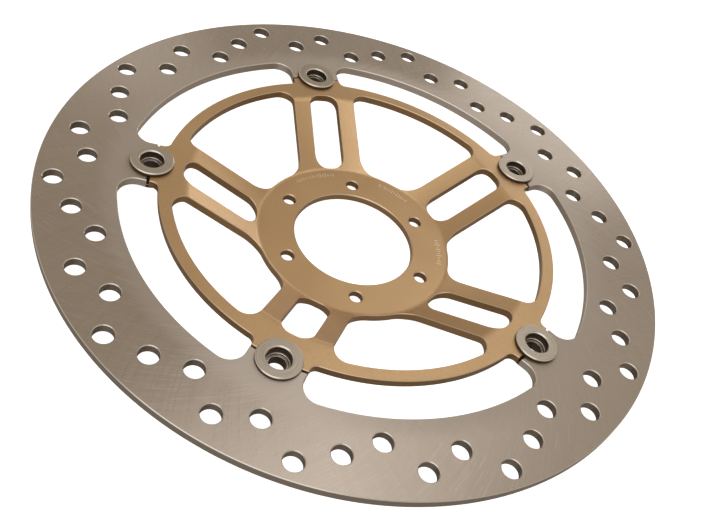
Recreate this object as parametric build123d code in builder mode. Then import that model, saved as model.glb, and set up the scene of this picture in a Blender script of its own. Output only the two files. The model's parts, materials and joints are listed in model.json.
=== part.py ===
"""Floating front brake disc of a motorcycle: a drilled friction ring hung from a dished carrier on bobbins.

All sizes are in millimetres. The origin is the centre of the carrier's rear hub face, which bolts to the wheel.
+Z points away from the wheel, and the first bobbin stands on the -Y axis.
"""

import os
from math import atan2, cos, pi, radians, sin, tan

from build123d import *

# ---------------------------------------------------------------- driving dimensions

# friction ring
disc_radius = 155.0
disc_thickness = 4.5
friction_band = 36.8            # radial width of the band that the pads sweep
tab_length = 13.3               # from the friction band in to the bobbin circle
disc_edge_chamfer = 0.35

# drilled holes: a row of slanting lines, repeated round the band
drilled_radius = 4.5
drilled_count = 50
drilled_start = 2.3             # degrees from a bobbin to the first hole
drilled_rows = (1, 4, 2, 0, 3)  # the row that each hole of a line lies in, 0 being the innermost
drilled_inner_margin = 11.5     # from the band's inner edge to the innermost row
drilled_outer_margin = 8.5      # from the outermost row to the rim

# bobbins and what holds them
bobbin_count = 5
barrel_radius = 8.0
seat_clearance = 0.12           # barrel to its two half-round seats
float_gap = 0.25                # ring to the bobbin flange, and ring to the flat washer
flange_overhang = 2.4           # flange beyond the barrel
flange_thickness = 1.6
flange_chamfer = 0.45
bobbin_bore = 5.6
rivet_bore = 3.9
rivet_mouth = 4.7               # wider mouth of the rivet's bore
rivet_mouth_depth = 1.2
rivet_depth = 3.6               # from the flange's top down to the end of the rivet
rivet_flange_overhang = 1.8     # rivet flange beyond the barrel
rivet_flange_thickness = 1.2
flat_washer_thickness = 0.8
washer_clearance = 0.2          # washers to the barrel
washer_overhang = 2.9           # washers beyond the barrel
wave_thickness = 0.5
wave_height = 0.3               # from the middle of the wave washer to a crest
wave_crests = 3
running_gap = 0.03              # between neighbours in a bobbin's stack

# carrier
carrier_thickness = 4.2
dish_depth = 18.9               # hub face below rim face
bend_radius = 5.0               # inside of each bend
bore_radius = 31.0
bolt_land = 8.25                # from the bore out to the bolt circle
bolt_count = 6
bolt_hole_radius = 3.25
bolt_start = -67.75             # degrees from +X to the first bolt hole
hub_land = 10.75                # from the bolt circle out to the bend
hole_chamfer = 0.5
lug_length = 4.9                # from the rim out to the bobbin circle
lug_side_wall = 5.3             # lug and tab beyond the barrel, each side
lug_gap = 1.2                   # between the end of a lug and the end of a ring tab
lug_root_radius = 3.5
tab_root_radius = 8.0
rim_width = 6.0                 # solid band round the outside of the carrier
rim_land = 13.0                 # flat part of the rim, in to the bend
slot_half_width = 8.0
slot_corner_radius = 6.5
slot_hub_land = 0.7             # from the hub bend out to the slot
slot_rim_land = 4.7             # from the slot out to the rim band
spoke_width = 9.3
window_hub_land = 0.5           # from the hub bend out to the window
window_inner_corner = 13.0
window_outer_corner = 7.0

# ---------------------------------------------------------------- worked-out sizes

band_inner_radius = disc_radius - friction_band
bobbin_circle = band_inner_radius - tab_length
rim_radius = bobbin_circle - lug_length
window_outer_radius = rim_radius - rim_width
rim_bend = rim_radius - rim_land
bolt_circle = bore_radius + bolt_land
hub_bend = bolt_circle + hub_land
window_inner_radius = hub_bend + window_hub_land
slot_inner_radius = hub_bend + slot_hub_land
slot_outer_radius = window_outer_radius - slot_rim_land
window_side = slot_half_width + spoke_width
lug_half_width = barrel_radius + lug_side_wall

hub_top = carrier_thickness
rim_top = hub_top + dish_depth
rim_bottom = rim_top - carrier_thickness
disc_bottom = rim_top - disc_thickness
flange_bottom = rim_top + float_gap
flange_top = flange_bottom + flange_thickness
rivet_top = flange_top - rivet_depth
flat_washer_top = min(disc_bottom, rim_bottom) - float_gap
flat_washer_bottom = flat_washer_top - flat_washer_thickness
wave_middle = flat_washer_bottom - running_gap - wave_height - wave_thickness / 2
rivet_flange_top = wave_middle - wave_thickness / 2 - wave_height - running_gap
rivet_flange_bottom = rivet_flange_top - rivet_flange_thickness

flange_radius = barrel_radius + flange_overhang
seat_radius = barrel_radius + seat_clearance
washer_inner_radius = barrel_radius + washer_clearance
washer_outer_radius = barrel_radius + washer_overhang
rivet_flange_radius = barrel_radius + rivet_flange_overhang

bobbin_pitch = 360 / bobbin_count
bobbin_angles = [-90 + n * bobbin_pitch for n in range(bobbin_count)]
drilled_pitch = 360 / drilled_count
row_pitch = (friction_band - drilled_inner_margin - drilled_outer_margin) / max(drilled_rows)
cut_height = 4 * rim_top        # taller than the whole part, for cuts right through it

os.makedirs("parts", exist_ok=True)


def save(piece, name):
    """Label a finished piece and write its STEP file."""
    piece.part.label = name
    export_step(piece.part, f"parts/{name}.step")


# ---------------------------------------------------------------- outlines seen along the axis

def fillet_corners(sketch, radius, reach):
    """Round the corners of the open sketch that lie at one distance from the centre."""
    fillet([v for v in sketch.vertices() if abs(Vector(v.X, v.Y).length - reach) < 0.01], radius)


def openings_between(inner_radius, outer_radius, bar_half_width, inner_corner, outer_corner):
    """Openings of a band, one between each two bobbins: the bars left between them point at the bobbins."""
    with BuildSketch() as openings:
        Circle(outer_radius)
        Circle(inner_radius, mode=Mode.SUBTRACT)
        with PolarLocations(outer_radius / 2, bobbin_count, start_angle=bobbin_angles[0]):
            Rectangle(outer_radius, 2 * bar_half_width, mode=Mode.SUBTRACT)
        fillet_corners(openings, inner_corner, inner_radius)
        fillet_corners(openings, outer_corner, outer_radius)
    return openings.sketch


def limited(radius, span):
    """A corner radius that its span leaves room for."""
    return min(radius, 0.45 * span)


opening_span = band_inner_radius - rim_radius
rim_openings = openings_between(
    rim_radius,
    band_inner_radius,
    lug_half_width,
    limited(lug_root_radius, opening_span),
    limited(tab_root_radius, opening_span),
)

window_span = window_outer_radius - window_inner_radius
windows = openings_between(
    window_inner_radius,
    window_outer_radius,
    window_side,
    limited(window_inner_corner, window_span),
    limited(window_outer_corner, window_span),
)

slot_length = slot_outer_radius - slot_inner_radius
with BuildSketch() as slots:
    with PolarLocations(slot_inner_radius + slot_length / 2, bobbin_count, start_angle=bobbin_angles[0]):
        RectangleRounded(slot_length, 2 * slot_half_width, limited(slot_corner_radius, 2 * slot_half_width))

with BuildSketch() as seats:
    with PolarLocations(bobbin_circle, bobbin_count, start_angle=bobbin_angles[0]):
        Circle(seat_radius)

with BuildSketch() as bolt_holes:
    with PolarLocations(bolt_circle, bolt_count, start_angle=bolt_start):
        Circle(bolt_hole_radius)

with BuildSketch() as drilled_holes:
    for hole in range(drilled_count):
        row = drilled_rows[hole % len(drilled_rows)]
        angle = radians(bobbin_angles[0] + drilled_start + hole * drilled_pitch)
        reach = band_inner_radius + drilled_inner_margin + row * row_pitch
        with Locations((reach * cos(angle), reach * sin(angle))):
            Circle(drilled_radius)

# ---------------------------------------------------------------- friction ring

with BuildPart() as brake_disc:
    with BuildSketch(Plane.XY.offset(disc_bottom)):
        Circle(disc_radius)
        Circle(bobbin_circle + lug_gap / 2, mode=Mode.SUBTRACT)
        add(rim_openings, mode=Mode.SUBTRACT)
        add(seats.sketch, mode=Mode.SUBTRACT)
        add(drilled_holes.sketch, mode=Mode.SUBTRACT)
    extrude(amount=disc_thickness)
    top_and_bottom = brake_disc.faces().filter_by(Plane.XY)
    chamfer(top_and_bottom.edges(), disc_edge_chamfer)
save(brake_disc, "brake_disc")

# ---------------------------------------------------------------- carrier

# The rear of the plate runs parallel to its front, so the rear of each bend lies a little further out.
bend_angle = atan2(dish_depth, rim_bend - hub_bend)
bend_shift = carrier_thickness * tan(bend_angle / 2)
lug_end = bobbin_circle - lug_gap / 2
bends = (
    (hub_bend, hub_top, bend_radius),
    (rim_bend, rim_top, bend_radius + carrier_thickness),
    (hub_bend + bend_shift, 0, bend_radius + carrier_thickness),
    (rim_bend + bend_shift, rim_bottom, bend_radius),
)

with BuildPart() as carrier:
    with BuildSketch(Plane.XZ) as plate_section:
        with BuildLine():
            Polyline(
                (bore_radius, 0),
                (hub_bend + bend_shift, 0),
                (rim_bend + bend_shift, rim_bottom),
                (lug_end, rim_bottom),
                (lug_end, rim_top),
                (rim_bend, rim_top),
                (hub_bend, hub_top),
                (bore_radius, hub_top),
                close=True,
            )
        make_face()
        for reach, height, radius in bends:
            fillet(plate_section.vertices().sort_by_distance((reach, height))[0], radius)
    revolve(axis=Axis.Z)
    for cut_out in (rim_openings, windows, slots.sketch, seats.sketch, bolt_holes.sketch):
        extrude(cut_out, amount=cut_height, mode=Mode.SUBTRACT)
    round_edges = carrier.edges().filter_by(GeomType.CIRCLE)
    chamfer(round_edges.filter_by(lambda edge: abs(edge.radius - bolt_hole_radius) < 0.01), hole_chamfer)
    chamfer(round_edges.filter_by(lambda edge: abs(edge.radius - bore_radius) < 0.01), hole_chamfer)
save(carrier, "carrier")

# ---------------------------------------------------------------- bobbins and what holds them


def section_plane(angle):
    """Upright plane through one bobbin's axis: its X runs away from the disc's centre and its Y upwards."""
    outwards = Vector(cos(radians(angle)), sin(radians(angle)), 0)
    sideways = Vector(sin(radians(angle)), -cos(radians(angle)), 0)
    return Plane(origin=outwards * bobbin_circle, x_dir=outwards, z_dir=sideways)


def bobbin_axis(angle):
    """The line that one bobbin turns about."""
    return Axis(section_plane(angle).origin, (0, 0, 1))


def wavy_loop(angle, radius, height):
    """Closed curve round one bobbin that rises and falls along the wave washer."""
    centre = section_plane(angle).origin
    steps = 12 * wave_crests
    points = []
    for step in range(steps):
        turn = 2 * pi * step / steps
        rise = height + wave_height * cos(wave_crests * turn)
        points.append((centre.X + radius * cos(turn), centre.Y + radius * sin(turn), rise))
    with BuildLine() as loop:
        Spline(*points, periodic=True)
    return loop.edges()[0]


for number, angle in enumerate(bobbin_angles, start=1):
    upright = section_plane(angle)
    axis = bobbin_axis(angle)

    with BuildPart() as bobbin:
        with BuildSketch(upright):
            with BuildLine():
                Polyline(
                    (bobbin_bore, rivet_flange_top),
                    (barrel_radius, rivet_flange_top),
                    (barrel_radius, flange_bottom),
                    (flange_radius, flange_bottom),
                    (flange_radius, flange_top - flange_chamfer),
                    (flange_radius - flange_chamfer, flange_top),
                    (bobbin_bore + flange_chamfer, flange_top),
                    (bobbin_bore, flange_top - flange_chamfer),
                    close=True,
                )
            make_face()
        revolve(axis=axis)
    save(bobbin, f"bobbin_{number}")

    with BuildPart() as retaining_rivet:
        with BuildSketch(upright):
            with BuildLine():
                Polyline(
                    (rivet_bore, rivet_flange_bottom),
                    (rivet_flange_radius, rivet_flange_bottom),
                    (rivet_flange_radius, rivet_flange_top),
                    (bobbin_bore, rivet_flange_top),
                    (bobbin_bore, rivet_top),
                    (rivet_mouth, rivet_top),
                    (rivet_mouth, rivet_top - rivet_mouth_depth),
                    (rivet_bore, rivet_top - rivet_mouth_depth),
                    close=True,
                )
            make_face()
        revolve(axis=axis)
    save(retaining_rivet, f"retaining_rivet_{number}")

    with BuildPart() as flat_washer:
        with BuildSketch(Plane.XY.offset(flat_washer_bottom)):
            with Locations((upright.origin.X, upright.origin.Y)):
                Circle(washer_outer_radius)
                Circle(washer_inner_radius, mode=Mode.SUBTRACT)
        extrude(amount=flat_washer_thickness)
    save(flat_washer, f"flat_washer_{number}")

    # Four ruled bands between wavy loops close the wave washer's ring.
    corners = (
        (washer_inner_radius, wave_middle - wave_thickness / 2),
        (washer_inner_radius, wave_middle + wave_thickness / 2),
        (washer_outer_radius, wave_middle + wave_thickness / 2),
        (washer_outer_radius, wave_middle - wave_thickness / 2),
    )
    loops = [wavy_loop(angle, radius, height) for radius, height in corners]
    bands = [Face.make_surface_from_curves(loops[side - 1], loops[side]) for side in range(len(loops))]
    ring_solid = Solid(Shell(bands))
    with BuildPart() as wave_washer:
        add(ring_solid)
    save(wave_washer, f"wave_washer_{number}")
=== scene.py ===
# %% [markdown]
# # A floating brake disc, looked at by a maker
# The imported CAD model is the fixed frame: it says where every piece is and how it moves. This script only
# gives those pieces their finish, and rebuilds some of them with finer edges, in metres, in the same place.

# %% Load the frame
import json
from math import atan2, cos, degrees, hypot, pi, radians, sin, sqrt, tan

import bpy
import numpy as np
from mathutils import Matrix, Vector
from mathutils.geometry import delaunay_2d_cdt


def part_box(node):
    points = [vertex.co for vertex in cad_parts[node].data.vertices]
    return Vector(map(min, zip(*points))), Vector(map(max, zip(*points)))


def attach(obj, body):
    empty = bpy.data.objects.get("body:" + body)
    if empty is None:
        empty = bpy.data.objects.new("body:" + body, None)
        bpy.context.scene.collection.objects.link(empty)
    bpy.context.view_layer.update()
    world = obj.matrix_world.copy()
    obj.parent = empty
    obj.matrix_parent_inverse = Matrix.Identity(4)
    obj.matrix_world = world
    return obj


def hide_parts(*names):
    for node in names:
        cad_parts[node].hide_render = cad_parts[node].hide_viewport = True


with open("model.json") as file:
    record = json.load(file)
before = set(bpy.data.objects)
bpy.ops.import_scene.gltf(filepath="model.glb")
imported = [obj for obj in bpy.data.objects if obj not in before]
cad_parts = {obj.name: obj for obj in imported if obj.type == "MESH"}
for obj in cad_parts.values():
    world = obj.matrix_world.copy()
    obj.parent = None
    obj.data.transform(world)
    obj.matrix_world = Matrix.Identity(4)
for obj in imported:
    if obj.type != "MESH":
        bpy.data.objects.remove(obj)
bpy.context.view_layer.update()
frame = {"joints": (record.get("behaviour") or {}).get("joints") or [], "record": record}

# %% [markdown]
# ## Sizes
# A maker reads the few sizes that the frame can give, such as the rim and the bobbins' places, straight from
# it. The rest are the drawing's own, written once in millimetres and turned into metres.

# %% Sizes from the frame
MM = 0.001
disc_low, disc_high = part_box("brake_disc")
_, carrier_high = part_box("carrier")
hub_bore = next(m for m in frame["record"]["mounts"] if m["name"] == "hub_bore")
hub_bolts = next(m for m in frame["record"]["mounts"] if m["name"] == "hub_bolts")
spins = [joint for joint in frame["joints"] if joint["type"] == "hinge"]
bobbin_places = [Vector(joint["pos_m"]) for joint in spins]
bobbin_bodies = [joint["child"] for joint in spins]

DISC_RADIUS = disc_high.x
DISC_TOP = disc_high.z
DISC_BOTTOM = disc_low.z
RIM_TOP = carrier_high.z
BOBBIN_CIRCLE = Vector(bobbin_places[0].xy).length
BORE_RADIUS = hub_bore["dims"]["r_mm"] * MM
BOLT_CIRCLE = hub_bolts["dims"]["pcd_mm"] * MM / 2
BOLT_HOLE = hub_bolts["dims"]["hole_r_mm"] * MM
BOLT_COUNT = hub_bolts["dims"]["count"]
PITCH = 2 * pi / len(bobbin_places)
FIRST = atan2(bobbin_places[0].y, bobbin_places[0].x)
print("disc radius", round(DISC_RADIUS, 4), "bobbin circle", round(BOBBIN_CIRCLE, 4))

# %% Sizes from the drawing
BAND_INNER = 118.2 * MM        # inner edge of the ring's band
DRILLED_HOLES = 50
DRILLED_ROWS, ROW_SKIP = 5, 3  # each hole lies three rows on from the one before it
FIRST_ROW = 1                  # the row of the first hole
DRILL_RADIUS = 4.5 * MM
INNER_ROW = BAND_INNER + 11.5 * MM
ROW_STEP = 4.2 * MM
FIRST_HOLE = FIRST + radians(2.3)
SEAT_RADIUS = 8.12 * MM        # half-round seats for the bobbins
LUG_SIDE = 13.3 * MM           # half the width of a lug or a tab
LUG_GAP = 1.2 * MM             # between a lug's end and a tab's end
TAB_ROOT = 8.0 * MM
RIM_RADIUS = 100.0 * MM
LUG_ROOT = 3.5 * MM
WINDOW_INNER, WINDOW_OUTER = 50.5 * MM, 94.0 * MM
WINDOW_SIDE = 17.3 * MM        # from the middle of a spoke pair to the window
WINDOW_INNER_CORNER, WINDOW_OUTER_CORNER = 13.0 * MM, 7.0 * MM
SLOT_INNER, SLOT_OUTER = 50.7 * MM, 89.3 * MM
SLOT_SIDE = 8.0 * MM
SLOT_CORNER = 6.5 * MM
HUB_BEND, RIM_BEND = 50.0 * MM, 87.0 * MM
CARRIER_THICKNESS = 4.2 * MM
BEND_RADIUS = 5.0 * MM
BOLT_START = radians(-67.75)
DISC_EDGE = 0.35 * MM          # chamfer on the ring's edges and holes
CARRIER_EDGE = 0.3 * MM        # chamfer on the carrier's rim, windows and slots
HUB_EDGE = 0.5 * MM            # chamfer on the machined bore and bolt holes

# %% Put things in the scene
def added(name, data):
    """An object of that name in the scene, made from a mesh, a curve, a lamp or a camera."""
    made = bpy.data.objects.new(name, data)
    bpy.context.scene.collection.objects.link(made)
    return made


def drawn_loops(name, loops, dimensions):
    """A curve object with one closed line for each loop of points."""
    curve = bpy.data.curves.new(name, "CURVE")
    curve.dimensions = dimensions
    for loop in loops:
        line = curve.splines.new("POLY")
        line.points.add(len(loop) - 1)
        line.points.foreach_set("co", [value for x, y in loop for value in (x, y, 0, 1)])
        line.use_cyclic_u = True
    return added(name, curve)

# %% [markdown]
# ## The camera
# It comes first, because every later choice is judged through it. It looks down at the disc from the front
# and is rolled, so the disc seems to lean.

# %% Camera
EYE = Vector((32.5, -325.6, 314.6)) * MM
AIM = Vector((5.46, -14.35, 0)) * MM
ROLL = radians(21.96)
SENSOR_WIDTH, LENS_LENGTH = 36, 45.33
camera_data = bpy.data.cameras.new("camera")
camera_data.sensor_width = SENSOR_WIDTH
camera_data.lens = LENS_LENGTH
camera = added("camera", camera_data)
upright = (AIM - EYE).to_track_quat("-Z", "Y").to_matrix()
camera.matrix_world = Matrix.Translation(EYE) @ (upright @ Matrix.Rotation(ROLL, 3, "Z")).to_4x4()
bpy.context.scene.camera = camera
print("camera distance", round((AIM - EYE).length, 3))

# %% [markdown]
# ## A way to write node trees
# Materials and Geometry Nodes are both trees of nodes. One helper adds a node, sets it and wires its inputs,
# so that each later line reads as one step of the recipe.

# %% Node helpers
def node(tree, kind, inputs=None, **settings):
    """Add one node to a tree. An input is a number, a colour or another node's output."""
    made = tree.nodes.new(kind)
    for name, value in settings.items():
        setattr(made, name, value)
    for key, value in (inputs or {}).items():
        socket = made.inputs[key]
        if isinstance(value, bpy.types.NodeSocket):
            tree.links.new(value, socket)
        else:
            socket.default_value = value
    return made


def calc(tree, operation, a, b=0.0, c=0.0):
    """One sum on numbers, in a shader tree or a geometry tree."""
    return node(tree, "ShaderNodeMath", {0: a, 1: b, 2: c}, operation=operation).outputs[0]


def new_group(name, kind, inputs, outputs):
    """A node group with sockets of the given titles and types. Returns it, its inputs and its output node."""
    tree = bpy.data.node_groups.new(name, kind)
    for side, sockets in (("INPUT", inputs), ("OUTPUT", outputs)):
        for title, socket_type in sockets.items():
            tree.interface.new_socket(title, in_out=side, socket_type="NodeSocket" + socket_type)
    return tree, tree.nodes.new("NodeGroupInput").outputs, tree.nodes.new("NodeGroupOutput")


def geo(tree, kind, inputs=None, **settings):
    """The first output of a new node of geometry."""
    return node(tree, "GeometryNode" + kind, inputs, **settings).outputs[0]


def split(tree, vector):
    """The three numbers of a vector."""
    return node(tree, "ShaderNodeSeparateXYZ", {0: vector}).outputs


def vector(tree, x, y=0.0, z=0.0):
    """A vector made of three numbers."""
    return node(tree, "ShaderNodeCombineXYZ", {0: x, 1: y, 2: z}).outputs[0]


def joined_parts(tree, parts):
    """Several geometries as one."""
    whole = node(tree, "GeometryNodeJoinGeometry")
    for part in parts:
        tree.links.new(part, whole.inputs[0])
    return whole.outputs[0]


def to_mesh_object(source, tree, values, name):
    """Run a geometry tree on an object and keep the result as a plain mesh of that name."""
    modifier = source.modifiers.new(tree.name, "NODES")
    modifier.node_group = tree
    for item in tree.interface.items_tree:
        if item.in_out == "INPUT" and item.name in values:
            modifier[item.identifier] = values[item.name]
    depsgraph = bpy.context.evaluated_depsgraph_get()
    mesh = bpy.data.meshes.new_from_object(source.evaluated_get(depsgraph), depsgraph=depsgraph)
    bpy.data.objects.remove(source)
    mesh.name = name
    piece = added(name, mesh)
    print(name, "has", len(mesh.polygons), "faces")
    return piece

# %% [markdown]
# Every tree ends the same way. Faces get a number, called cut, that says how they were made: 0 for a face
# that was ground or turned flat, 0.5 for a chamfer and 1 for an upright cut wall. The finishes read it for
# roughness, and to paint a highlight on chamfers and paint shade on walls.
# Edges that turn sharply stay sharp and the rest is shaded smooth. Then instances become real faces.

# %% How a tree ends
SHARP = radians(25)            # edges that turn further than this stay sharp
CHAMFER_BELOW = 0.9            # upward share of the normal, under which a face is a chamfer
WALL_BELOW = 0.3               # and under which it is a wall


def finish_mesh(tree, geometry, material, result):
    """Mark the faces, shade them, make instances real, set the material and join it to the output."""
    normal = geo(tree, "InputNormal")
    steep = calc(tree, "ABSOLUTE", split(tree, normal)[2])
    chamfer = calc(tree, "MULTIPLY", calc(tree, "LESS_THAN", steep, CHAMFER_BELOW), 0.5)
    cut = calc(tree, "MULTIPLY_ADD", calc(tree, "LESS_THAN", steep, WALL_BELOW), 0.5, chamfer)
    values = {"Geometry": geometry, "Name": "cut", "Value": cut}
    marked = geo(tree, "StoreNamedAttribute", values, data_type="FLOAT", domain="FACE")
    smooth = geo(tree, "SetShadeSmooth", {0: marked, 2: True}, domain="FACE")
    turn = geo(tree, "InputMeshEdgeAngle")
    crease = node(tree, "FunctionNodeCompare", {0: turn, 1: SHARP}, operation="GREATER_THAN").outputs[0]
    shaded = geo(tree, "SetShadeSmooth", {0: smooth, 1: crease, 2: False}, domain="EDGE")
    real = geo(tree, "RealizeInstances", {"Geometry": shaded})
    coated = geo(tree, "SetMaterial", {"Geometry": real, "Material": material})
    tree.links.new(coated, result.inputs[0])

# %% [markdown]
# ## Outlines
# The disc and the carrier are both cut from plate, so a maker draws their outlines first. A single bobbin
# place is drawn, with the piece's arm lying along +X, and then turned round to the other four. Arcs are lists
# of close points, because a mesh has only straight edges.

# %% Arcs and lists of points
ARC_STEP = radians(6)          # between two points of a small arc
RIM_STEP = radians(1)          # between two points of an arc about the disc's centre
BORE_STEP = radians(2)
BOLT_STEP = radians(7.5)
SAME_POINT = 0.002 * MM        # points nearer than this are one point


def arc(centre, radius, start, end, step=ARC_STEP):
    """Points along an arc, both ends included. Angles are in radians and may run either way."""
    count = max(1, round(abs(end - start) / step))
    turns = [start + (end - start) * i / count for i in range(count + 1)]
    return [(centre[0] + radius * cos(t), centre[1] + radius * sin(t)) for t in turns]


def turned(points, angle):
    """The points turned about the disc's centre."""
    return [(x * cos(angle) - y * sin(angle), x * sin(angle) + y * cos(angle)) for x, y in points]


def mirrored(points):
    """The points on the other side of the X axis, in the opposite order, so that a half outline goes on."""
    return [(x, -y) for x, y in reversed(points)]


def joined(points):
    """The same points with the doubles dropped, so that no edge has zero length."""
    kept = []
    for point in points:
        if not kept or hypot(point[0] - kept[-1][0], point[1] - kept[-1][1]) > SAME_POINT:
            kept.append(point)
    if hypot(kept[0][0] - kept[-1][0], kept[0][1] - kept[-1][1]) < SAME_POINT:
        kept.pop()
    return kept


def area(loop):
    """The area inside a closed loop, negative when it runs clockwise."""
    return sum(a[0] * b[1] - b[0] * a[1] for a, b in zip(loop, loop[1:] + loop[:1])) / 2


def as_hole(loop):
    """A loop that runs clockwise, so that the metal is on its left, as it is along the outer edge."""
    return loop if area(loop) < 0 else loop[::-1]


BOBBIN_ANGLES = [FIRST + PITCH * i for i in range(len(bobbin_places))]
print("five places, the first at", round(degrees(FIRST)), "degrees")

# %% Half a lug and half a tab, meeting at a seat
def seat_half_angle(end_radius):
    """Where a lug's or a tab's end meets its seat, as an angle about the bobbin."""
    across = (end_radius ** 2 + BOBBIN_CIRCLE ** 2 - SEAT_RADIUS ** 2) / (2 * BOBBIN_CIRCLE)
    return atan2(sqrt(end_radius ** 2 - across ** 2), across - BOBBIN_CIRCLE)


def arm_outline(root_radius, fillet, sign, end_radius):
    """A lug (sign 1, growing out of the rim) or a tab (sign -1, growing in from the band), with its seat."""
    side = LUG_SIDE + fillet
    middle = root_radius + sign * fillet
    centre = (sqrt(middle ** 2 - side ** 2), -side)
    to_root = atan2(centre[1], centre[0]) + (pi if sign > 0 else 0)
    to_root = to_root if sign < 0 else to_root % (2 * pi)
    end_angle = atan2(-LUG_SIDE, sqrt(end_radius ** 2 - LUG_SIDE ** 2))
    seat = seat_half_angle(end_radius)
    across = BOBBIN_CIRCLE + SEAT_RADIUS * cos(seat)
    seat_edge = atan2(-SEAT_RADIUS * sin(seat), across)
    half = arc(centre, fillet, to_root, pi / 2)
    half += arc((0, 0), end_radius, end_angle, seat_edge, RIM_STEP)
    around = arc((BOBBIN_CIRCLE, 0), SEAT_RADIUS, -seat if sign < 0 else 2 * pi - seat, seat)
    return half + around + mirrored(half)


def ring_outline(arm, root_radius):
    """The arm at every bobbin, joined by arcs of the rim or of the band."""
    loop = []
    first = atan2(arm[0][1], arm[0][0])
    last = atan2(arm[-1][1], arm[-1][0])
    for angle in BOBBIN_ANGLES:
        loop += turned(arm, angle)
        loop += arc((0, 0), root_radius, angle + last, angle + PITCH + first, RIM_STEP)
    return joined(loop)


lug_end = BOBBIN_CIRCLE - LUG_GAP / 2
tab_end = BOBBIN_CIRCLE + LUG_GAP / 2
carrier_outline = ring_outline(arm_outline(RIM_RADIUS, LUG_ROOT, 1, lug_end), RIM_RADIUS)
disc_inner_outline = ring_outline(arm_outline(BAND_INNER, TAB_ROOT, -1, tab_end), BAND_INNER)
print("carrier outline", len(carrier_outline), "points, disc's inner outline", len(disc_inner_outline))

# %% Windows and slots of the carrier
def rounded_box(low, high, side, corner):
    """A slot along +X with rounded corners."""
    right, left = high - corner, low + corner
    loop = arc((right, side - corner), corner, 0, pi / 2) + arc((left, side - corner), corner, pi / 2, pi)
    loop += arc((left, corner - side), corner, pi, 1.5 * pi)
    return joined(loop + arc((right, corner - side), corner, 1.5 * pi, 2 * pi))


def window_outline():
    """The opening between two spokes: it starts beside the first bobbin's spoke and ends beside the next."""
    low, high = WINDOW_INNER_CORNER, WINDOW_OUTER_CORNER
    inner = (sqrt((WINDOW_INNER + low) ** 2 - (WINDOW_SIDE + low) ** 2), WINDOW_SIDE + low)
    outer = (sqrt((WINDOW_OUTER - high) ** 2 - (WINDOW_SIDE + high) ** 2), WINDOW_SIDE + high)
    inner_turn, outer_turn = atan2(inner[1], inner[0]), atan2(outer[1], outer[0])
    half = arc(inner, low, inner_turn + pi, 1.5 * pi)
    half += arc(outer, high, -pi / 2, outer_turn)
    other = turned(mirrored(half), PITCH)
    across_outer = arc((0, 0), WINDOW_OUTER, outer_turn, PITCH - outer_turn, RIM_STEP)
    across_inner = arc((0, 0), WINDOW_INNER, PITCH - inner_turn, inner_turn, RIM_STEP)
    return joined(half + across_outer + other + across_inner)


slot = rounded_box(SLOT_INNER, SLOT_OUTER, SLOT_SIDE, SLOT_CORNER)
window = window_outline()
carrier_holes = [arc((0, 0), BORE_RADIUS, 0, 2 * pi, BORE_STEP)]
for i in range(BOLT_COUNT):
    bolt = BOLT_START + 2 * pi * i / BOLT_COUNT
    centre = (BOLT_CIRCLE * cos(bolt), BOLT_CIRCLE * sin(bolt))
    carrier_holes.append(arc(centre, BOLT_HOLE, 0, 2 * pi, BOLT_STEP))
carrier_holes += [turned(shape, angle) for angle in BOBBIN_ANGLES for shape in (slot, window)]
carrier_holes = [as_hole(joined(loop)) for loop in carrier_holes]
print(len(carrier_holes), "openings in the carrier")

# %% [markdown]
# ## The friction ring
# The ring is a ground plate with fifty drilled holes, five to a slanting line, and a fine chamfer on every
# edge. It could be cut hole by hole with booleans, but its shape follows a rule, so Geometry Nodes build it:
# one profile, which is chamfer, wall and chamfer, is swept along every edge line, and the two flat faces are
# then filled between the lines. Changing the number of holes or the size of the chamfer is one number.

# %% Where the tree puts the holes
WELD = 1e-6                    # points nearer than this, in metres, become one
HOLE_SIDES = 48


def drilled_holes(tree, size):
    """A circle at every hole's place. The row follows from the hole's number, which makes slanting lines."""
    number = geo(tree, "InputIndex")
    row = calc(tree, "MODULO", calc(tree, "MULTIPLY_ADD", number, ROW_SKIP, FIRST_ROW), DRILLED_ROWS)
    reach = calc(tree, "MULTIPLY_ADD", row, size["Row Step"], size["Inner Row"])
    turn = calc(tree, "DIVIDE", calc(tree, "MULTIPLY", number, 2 * pi), size["Holes"])
    angle = calc(tree, "ADD", turn, size["First Hole"])
    x = calc(tree, "MULTIPLY", reach, calc(tree, "COSINE", angle))
    y = calc(tree, "MULTIPLY", reach, calc(tree, "SINE", angle))
    place = vector(tree, x, y)
    points = geo(tree, "Points", {"Count": size["Holes"], "Position": place})
    circle = geo(tree, "CurvePrimitiveCircle", {"Resolution": HOLE_SIDES, "Radius": size["Hole Radius"]})
    hole = geo(tree, "ReverseCurve", {"Curve": circle})
    holes = geo(tree, "InstanceOnPoints", {"Points": points, "Instance": hole})
    return geo(tree, "RealizeInstances", {"Geometry": holes})


# %% How the tree makes the walls
def swept_edges(tree, size, holes):
    """Chamfer, wall and chamfer, swept along the outlines and the holes."""
    lines = joined_parts(tree, (size["Outlines"], holes))
    # A swept profile's X points away from the metal and its Y points down, so both are negative here.
    into_metal = calc(tree, "MULTIPLY", size["Chamfer"], -1.0)
    top, bottom = (calc(tree, "MULTIPLY", size[name], -1.0) for name in ("Top", "Bottom"))
    under_top = calc(tree, "ADD", top, size["Chamfer"])
    over_bottom = calc(tree, "SUBTRACT", bottom, size["Chamfer"])
    corners = [(into_metal, top), (0.0, under_top), (0.0, over_bottom), (into_metal, bottom)]
    corners = [vector(tree, a, b) for a, b in corners]
    sides = zip(corners, corners[1:])
    profile = joined_parts(tree, [geo(tree, "CurvePrimitiveLine", {"Start": a, "End": b}) for a, b in sides])
    swept = geo(tree, "CurveToMesh", {"Curve": lines, "Profile Curve": profile})
    return geo(tree, "MergeByDistance", {"Geometry": swept, "Distance": WELD})


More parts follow.
